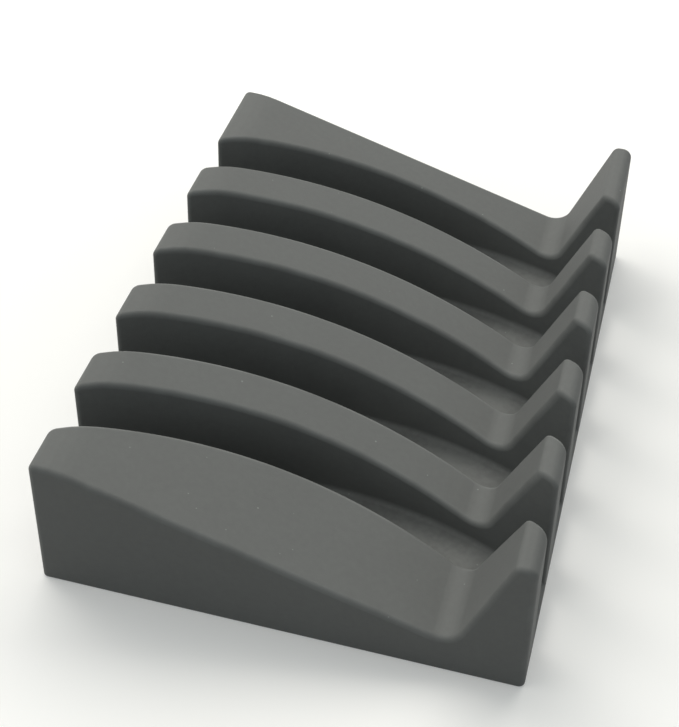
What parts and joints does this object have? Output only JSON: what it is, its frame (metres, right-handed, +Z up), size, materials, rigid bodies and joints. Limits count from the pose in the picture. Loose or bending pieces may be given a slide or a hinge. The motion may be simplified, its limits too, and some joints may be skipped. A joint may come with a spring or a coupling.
{
  "type": "soap dish",
  "caption": "Slatted soap dish in matte silicone: bowed ribs on a thin base, with a seat that slopes down to a raised stop.",
  "frame": {"origin": "on the surface that the dish stands on, under the middle of its footprint", "axes": "+X along the ribs, from the high end of the seat to the stop; +Y from the front rib to the back rib, the way the slots bow; +Z up"},
  "size_m": [0.08, 0.1096, 0.027],
  "materials": {
    "silicone": "matte"
  },
  "bodies": {
    "root": {"base": "silicone", "front_rib": "silicone", "middle_rib_1": "silicone", "middle_rib_2": "silicone", "middle_rib_3": "silicone", "middle_rib_4": "silicone", "back_rib": "silicone"}
  },
  "joints": []
}
